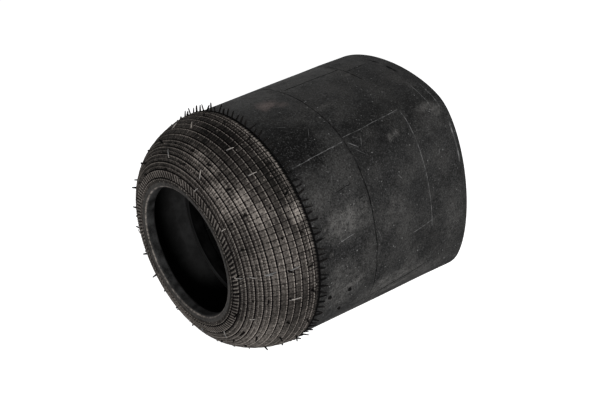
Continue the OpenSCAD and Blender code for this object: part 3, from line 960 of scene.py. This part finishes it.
# %% Patches of dust and of clean rubber
# Each patch is (angle, x, half its width round the sleeve, half its length, strength), in degrees and mm
DUSTY = [
    (69, 104, 22, 34, 1.2), (58, 80, 16, 20, 0.45), (99, 92, 34, 42, 0.8), (105, 170, 16, 60, 0.9),
    (110, 225, 14, 45, 0.6), (-9, 150, 20, 70, 0.5), (-4, 230, 16, 40, 0.4), (74, 176, 26, 26, 0.5),
    (46.7, 207, 4, 6, 1.0), (47.5, 197, 4, 5, 0.8), (37.5, 270, 6, 16, 0.8), (2.3, 226, 4, 10, 0.8),
    (15, 152, 4, 18, 0.7), (68, 73, 3, 4, 0.9), (79, 75, 3, 4, 0.9), (128, 120, 20, 60, 0.6),
    (84, 270, 30, 16, 0.4), (97, 102, 4, 28, 1.4), (103, 153, 4, 14, 1.6), (103, 190, 4, 40, 1.4),
    (112, 190, 4, 46, 1.2), (-16, 190, 6, 50, 0.7), (45, 278, 8, 12, 0.9), (-60, 150, 40, 50, 0.6),
    (-110, 210, 30, 60, 0.7), (170, 130, 40, 50, 0.6), (-150, 90, 30, 30, 0.7),
]
FOLD_SHADE = [(0, 281, 13, 3.4, 1.2), (8, 282, 12, 2.6, 1.2)]
SMUDGES = [(1, 105, 11, 15, 1.3), (5, 118, 6, 8, 0.5), (-100, 120, 20, 26, 0.6), (150, 220, 18, 24, 0.5)]
CLEAN = [(29, 85, 42, 46, 1.2), (28, 190, 18, 50, 0.8), (52, 160, 18, 26, 0.6), (-70, 240, 30, 30, 0.7)]


def patches(place, ragged, marks):
    """The strongest of several patches. Each is (arc, length, half across, half along, strength)."""
    u, v = wall_uv(place.tree)
    masks = []
    for across, along, half_across, half_along, strength in marks:
        mask = placed(
            patch, Across=u, Along=v, Ragged=ragged, AtAcross=across, AtAlong=along,
            HalfAcross=half_across * MM, HalfAlong=half_along * MM,
        )
        masks.append(mask * strength)
    return reduce(most, masks)


def on_sleeve(marks):
    return [(arc_to(x * MM, angle), behind_shoulder(x), *rest) for angle, x, *rest in marks]


# %% Sleeve rubber
sleeve_rubber, shader, place = material("sleeve_rubber", 0.035)
light_lines_and_highlights, dark_lines_and_shade = wrap_marks(place)
ragged = place.noise(55.0, 5.0, 0.7)
mottle = place.noise(190.0, 4.0, 0.7)
speckle = place.noise(620.0, 3.0, 0.8)
drifts = placed(dust, Place=place, Scale=14.0, Amount=0.6)
smears = placed(dust, Place=place, Scale=30.0, Amount=0.5)
scuffs = most(
    placed(scratch, Place=place, Turn=0.5, Amount=0.75), placed(scratch, Place=place, Turn=-0.9, Amount=0.7)
)
specks = most(
    placed(speck, Place=place, Scale=420.0, Share=0.06, Size=0.32),
    placed(speck, Place=place, Scale=150.0, Share=0.015, Size=0.16),
) * ragged.mapped(0.42, 0.6)
dusty, fold_shade, smudged, clean = (
    patches(place, ragged, on_sleeve(marks)) for marks in (DUSTY, FOLD_SHADE, SMUDGES, CLEAN)
)
dusty = dusty * mottle.mapped(0.3, 0.65, 0.15, 1.0)
dark_lines_and_shade = maths("MAXIMUM", dark_lines_and_shade, fold_shade, clamp=True)

# %% Paint on the sleeve
tone = mottle.mapped(0.35, 0.65).between(colour(0.001), colour(0.01))
# From the bottom layer of paint to the top one: a mask, its strength and its colour
for mask, strength, paint in (
    (drifts, 0.8, colour(0.022)),
    (smears, 0.45, colour(0.055, GREY_BROWN)),
    (clean, 0.9, colour(0.002)),
    (dusty, 0.85, colour(0.085, GREY_BROWN)),
    (smudged, 0.8, colour(0.085, RED_BROWN)),
    (speckle.mapped(0.53, 0.7), 0.6, colour(0.09)),
    (speckle.mapped(0.5, 0.34), 0.85, colour(0.001)),
    (scuffs, 0.7, colour(0.16)),
    (specks, 0.8, colour(0.26)),
    # The light lines include a painted highlight by the fold's rim, and the dark lines are painted shade in
    # grooves and at the fold's crease
    (light_lines_and_highlights, 0.6, colour(0.2)),
    (dark_lines_and_shade, 0.92, colour(0.002)),
):
    tone = (mask * strength).between(tone, paint)
plug(shader["Base Color"], tone)
# Dust is rougher than the rubber, and the dark lines and painted shade are fully rough, so that they stay
# dark
plug(shader["Roughness"], most(most(drifts, dusty).mapped(0.0, 1.0, 0.5, 0.72), dark_lines_and_shade))
height = placed(grain, Place=place, Scale=700.0) + light_lines_and_highlights * 1.2 - dark_lines_and_shade * 2.0
raised(shader, height, BUMP, 0.8)

# %% [markdown]
# ## Rubber for the shoulder
# The crests of the net are painted light, partly as dust and partly as a painted highlight of the ridges,
# and the grooves are painted almost black as painted shade. Patches paint the near side lighter and the
# top darker, as dust and clean rubber and also as painted light and shade. The mesh carries its own
# height as an attribute, named relief, and a random number for each tile, so the paint follows the real
# form.

# %% Dust on the shoulder
# Each patch is (angle, mm along the curve from the flat face, half its width, half its length, strength)
# Dust patches, most of them on the near side, which the key lamp lights: partly dust and partly painted
# light
SHOULDER_DUST_AND_LIGHT = [
    (33, 28, 20, 12, 0.9), (42, 40, 16, 12, 1.0), (9, 36, 10, 8, 0.6), (19, 36, 12, 9, 0.7),
    (53, 48, 18, 14, 0.7), (57, 84, 13, 14, 1.3), (64, 90, 14, 10, 1.3), (25, 85.5, 60, 2.2, 1.3),
    (70, 88, 12, 8, 0.8), (73, 50, 40, 30, 0.4), (41, 24, 16, 10, 0.6), (120, 40, 60, 26, 0.45),
    (-70, 60, 50, 30, 0.6), (-140, 50, 60, 30, 0.5),
]
# Darker patches of clean rubber. Those near the top are partly painted shade
SHOULDER_CLEAN_AND_SHADE = [
    (12, 66, 70, 24, 1.0), (35, 76, 24, 12, 0.9), (95, 68, 26, 26, 0.6), (-30, 50, 30, 40, 0.5),
    (90, 5, 260, 9, 0.8),
]


def on_shoulder(marks):
    return [(math.radians(angle) * sleeve_r, far * MM - upper.arc, *rest) for angle, far, *rest in marks]


# %% Shoulder rubber
shoulder_rubber, shader, place = material("shoulder_rubber")
crest, tile_tone = (
    Wire(node(place.tree, "ShaderNodeAttribute", attribute_name=name).outputs["Fac"])
    for name in ("relief", "tile")
)
ragged = place.noise(60.0, 5.0, 0.7)
mottle = place.noise(420.0, 3.0, 0.75)
drifts = placed(dust, Place=place, Scale=20.0, Amount=0.65)
dusty, clean = (patches(place, ragged, on_shoulder(marks)) for marks in (SHOULDER_DUST_AND_LIGHT, SHOULDER_CLEAN_AND_SHADE))
specks = placed(speck, Place=place, Scale=420.0, Share=0.1, Size=0.35)
# The clean patches darken the paint, near the top partly as painted shade, and the dust patches lighten it,
# on the near side partly as painted light
level = (tile_tone * 0.01 + drifts * 0.022 + 0.005) * (1.0 - clean * 0.88) + dusty * 0.085
level = level * mottle.mapped(0.3, 0.7, 0.25, 1.8)
shade = filled(node(place.tree, "ShaderNodeCombineColor"), enumerate(level * share for share in BROWN))
worn = (dusty * 0.35 + drifts * 0.25 + 0.2) * (1.0 - clean * 0.35)
# The crests are painted light where dust lies, and this light is partly a painted highlight of the ridges
tone = (crest.mapped(0.6, 0.9) * worn).between(shade, colour(0.3, BROWN))
tone = (specks * 0.5).between(tone, colour(0.3, BROWN))
# Grooves are painted almost black as painted shade, and so are the back edge and the rows behind the net,
# as a painted shadow of the step
tone = crest.mapped(0.46, 0.15).between(tone, colour(0.003))
plug(shader["Base Color"], tone)
plug(shader["Roughness"], drifts.mapped(0.0, 1.0, 0.62, 0.8))
plug(shader["Specular IOR Level"], crest.mapped(0.15, 0.46, 0.0, 0.045))
raised(shader, placed(grain, Place=place, Scale=1100.0), BUMP, 0.7)

# %% [markdown]
# ## The other finishes
# The whiskers are almost clean, apart from the lying ones, which are grey with dust. The upper wear
# strip is dusty like the net beside it, and round its edge it is painted light grey, as wear and as a
# painted highlight. The lower one is clean, and painted darker and without sheen as painted shade deep
# inside. The lining is the smoothest rubber here, and cords run slantwise through the plies. The wire of
# the bead rings is coated with bronze.

# %% Rubber under drifts of dust
# The outer edge of a wear strip, painted light grey as wear and as a painted highlight, lies this far along
# its profile
EDGE_AT = upper.ring_r - upper.seat_r - (bead_w - seat_length) / 4


def dust_wear_and_edge_highlight(place, tone):
    """Dust on a strip's front face and, round its outer edge, a light grey that is wear and a painted
    highlight.
    """
    along = wall_uv(place.tree)[1]
    face = along.mapped(EDGE_AT + 0.3 * MM, EDGE_AT - 0.7 * MM) * 0.75
    tone = (face * place.noise(420.0, 3.0, 0.75).mapped(0.35, 0.65)).between(tone, colour(0.045, BROWN))
    # Round the outer edge: light grey, partly wear and partly a painted highlight on the rounded edge
    worn = abs(along - EDGE_AT).mapped(1.3 * MM, 0.3 * MM) * 0.75
    worn = worn * place.noise(160.0, 5.0, 0.75).mapped(0.4, 0.6, 0.1, 1.0)
    return worn.between(tone, colour(0.2, BROWN))


def coated(name, specular, scale, amount, clean, dusty, rough, grit, bump=BUMP, strength=1.0, over=None):
    """A rubber with drifts of this scale and amount, two tones, two roughnesses and a scale of grain."""
    made, shader, place = material(name, specular)
    drifts = placed(dust, Place=place, Scale=scale, Amount=amount)
    tone = drifts.between(clean, dusty)
    plug(shader["Base Color"], over(place, tone) if over else tone)
    plug(shader["Roughness"], drifts.mapped(0.0, 1.0, *rough))
    raised(shader, placed(grain, Place=place, Scale=grit), bump, strength)
    return made


# %% Whiskers, strips, linings and fillers
whisker_rubber, dusty_whisker = (
    coated(name, 0.03, 60.0, 0.5, clean, dusty, (0.55, 0.75), 1500.0, bump=0.1 * MM)
    for name, clean, dusty in (
        ("whisker_rubber", colour(0.002), colour(0.007, BROWN)),
        ("dusty_whisker", colour(0.12), colour(0.36, BROWN)),
    )
)
strip_rubber, clean_and_shaded_strip = (
    coated(name, specular, 90.0, 0.6, clean, dusty, (0.5, 0.7), 1300.0, over=over)
    for name, specular, clean, dusty, over in (
        ("strip_rubber", 0.08, colour(0.004), colour(0.03), dust_wear_and_edge_highlight),
        # The lower strip's copy is darker and has no sheen: clean rubber, and painted shade deep inside
        ("clean_and_shaded_strip", 0.0, colour(0.001), colour(0.003), None),
    )
)
lining_rubber = coated(
    "lining_rubber", 0.06, 16.0, 0.5, colour(0.01), colour(0.02), (0.42, 0.62), 500.0, strength=0.5
)
filler_rubber = coated("filler_rubber", 0.3, 30.0, 0.4, colour(0.03), colour(0.05), (0.55, 0.7), 900.0)

# %% Cord plies and bead wire
cord_ply, shader, place = material("cord_ply", 0.2)
bands = node(place.tree, "ShaderNodeTexWave", wave_type="BANDS", bands_direction="DIAGONAL")
cords = filled(bands, [("Vector", place), ("Scale", 260.0), ("Distortion", 0.6)], "Fac")
plug(shader["Base Color"], cords.between(colour(0.05), colour(0.3, (1.1, 0.9, 0.6))))
plug(shader["Roughness"], cords.mapped(0.0, 1.0, 0.85, 0.65))
raised(shader, cords, 0.3 * MM)

bead_wire, shader, place = material("bead_wire", 0.5)
plug(shader["Metallic"], 1.0)
tarnish = placed(dust, Place=place, Scale=80.0, Amount=0.5)
bronze, dull_bronze = colour(0.55, (1.0, 0.78, 0.46)), colour(0.3, (1.0, 0.75, 0.5))
plug(shader["Base Color"], tarnish.between(bronze, dull_bronze))
plug(shader["Roughness"], tarnish.mapped(0.0, 1.0, 0.28, 0.5))

# %% Give every piece its finish
FINISHES = {
    shoulder_rubber: [moulded_shoulder],
    whisker_rubber: [fringe, vent_whiskers, sleeve_stubs],
    dusty_whisker: [bent_whiskers],
    sleeve_rubber: [outer_cover, inside_cover, lower_shoulder],
    strip_rubber: [upper_bead_strip],
    clean_and_shaded_strip: [lower_bead_strip],
    lining_rubber: [upper_lining, lower_lining, outer_lining, inside_lining],
    cord_ply: outer_plies + inside_plies,
}
for finish_material, pieces in FINISHES.items():
    for piece in pieces:
        piece.data.materials.append(finish_material)
slot_finish = {
    "shoulder_rubber": shoulder_rubber, "sleeve_rubber": sleeve_rubber, "chafer_rubber": strip_rubber,
    "liner_rubber": lining_rubber, "filler_rubber": filler_rubber, "cord_ply": cord_ply,
    "bead_wire": bead_wire,
}
slots = {part["node"]: part["material_slot"] for part in frame["record"]["subparts"]}
for name, piece in frame["nodes"].items():
    piece.data.materials.clear()
    piece.data.materials.append(slot_finish[slots[name]])
print("finishes:", sorted(m.name for m in bpy.data.materials if m.users))

# %% [markdown]
# ## Camera
# The bellows was seen from its open end, from the near side and above. The camera stands at that place,
# and its lens gives the same widening of near things.

# %% Camera
CAMERA_PLACE = Vector((-0.3065, -0.4926, 0.3881))
TURN, DOWN = math.radians(47.3), math.radians(30.1)
camera_data = bpy.data.cameras.new("camera")
camera_data.lens, camera_data.sensor_width = 42.0, 36.0
camera = in_scene("camera", camera_data)
ahead = Vector((math.cos(TURN) * math.cos(DOWN), math.sin(TURN) * math.cos(DOWN), -math.sin(DOWN)))
camera.location = CAMERA_PLACE
camera.rotation_euler = ahead.to_track_quat("-Z", "Y").to_euler()
bpy.context.scene.camera = camera

# %% [markdown]
# ## Floor, world and lamps
# A white ground that clips to white would also hide the shadow. The floor is pale and reflects light
# like paper, and for the camera's own rays it also glows a little, so that the lit floor turns white
# and the soft shadow under the bellows stays. The world is white to the camera and in reflections, and
# lights everything else softly. The key lamp stands where it also reaches into the opening, the edge
# lamp lights the fold's side, and the top one softens the shadows.

# %% Floor
FLOOR_GLOW = 0.8
ground_z = -fringe_r - 0.2 * MM
bpy.ops.mesh.primitive_plane_add(size=12, location=(0.1, 0, ground_z))
floor = bpy.context.object
floor.name = "floor"
paper = bpy.data.materials.new("floor_paper")
paper.use_nodes = True
tree = paper.node_tree
tree.nodes.clear()
camera_ray = Wire(node(tree, "ShaderNodeLightPath").outputs["Is Camera Ray"])
matte = filled(node(tree, "ShaderNodeBsdfDiffuse"), [("Color", colour(0.85))])
glow = filled(node(tree, "ShaderNodeEmission"), [("Strength", camera_ray * FLOOR_GLOW)])
both = filled(node(tree, "ShaderNodeAddShader"), enumerate((matte, glow)))
plug(node(tree, "ShaderNodeOutputMaterial").inputs[0], both)
floor.data.materials.append(paper)

# %% World
WORLD_LIGHT = 0.12
world = bpy.data.worlds.new("studio")
bpy.context.scene.world = world
world.use_nodes = True
background = world.node_tree.nodes["Background"].inputs
plug(background["Color"], (1, 1, 1, 1))
rays = node(world.node_tree, "ShaderNodeLightPath").outputs
white = reduce(most, (Wire(rays[f"Is {kind} Ray"]) for kind in ("Camera", "Glossy", "Transmission")))
plug(background["Strength"], white * (1 - WORLD_LIGHT) + WORLD_LIGHT)


# %% Lamps
LAMPS_AIM = Vector((0.13, 0, 0))


def soft_lamp(name, place, power, size):
    data = bpy.data.lights.new(name, "AREA")
    data.energy, data.shape, data.size = power, "DISK", size
    lamp = in_scene(name, data)
    lamp.location = place
    lamp.rotation_euler = (LAMPS_AIM - Vector(place)).to_track_quat("-Z", "Y").to_euler()


soft_lamp("key", (-1.35, -1.5, 0.6), 48, 0.6)
soft_lamp("edge", (1.3, -1.3, 0.6), 12, 0.35)
soft_lamp("top", (0.5, 0.9, 1.9), 5, 1.2)
bpy.context.scene.view_settings.view_transform = "Standard"
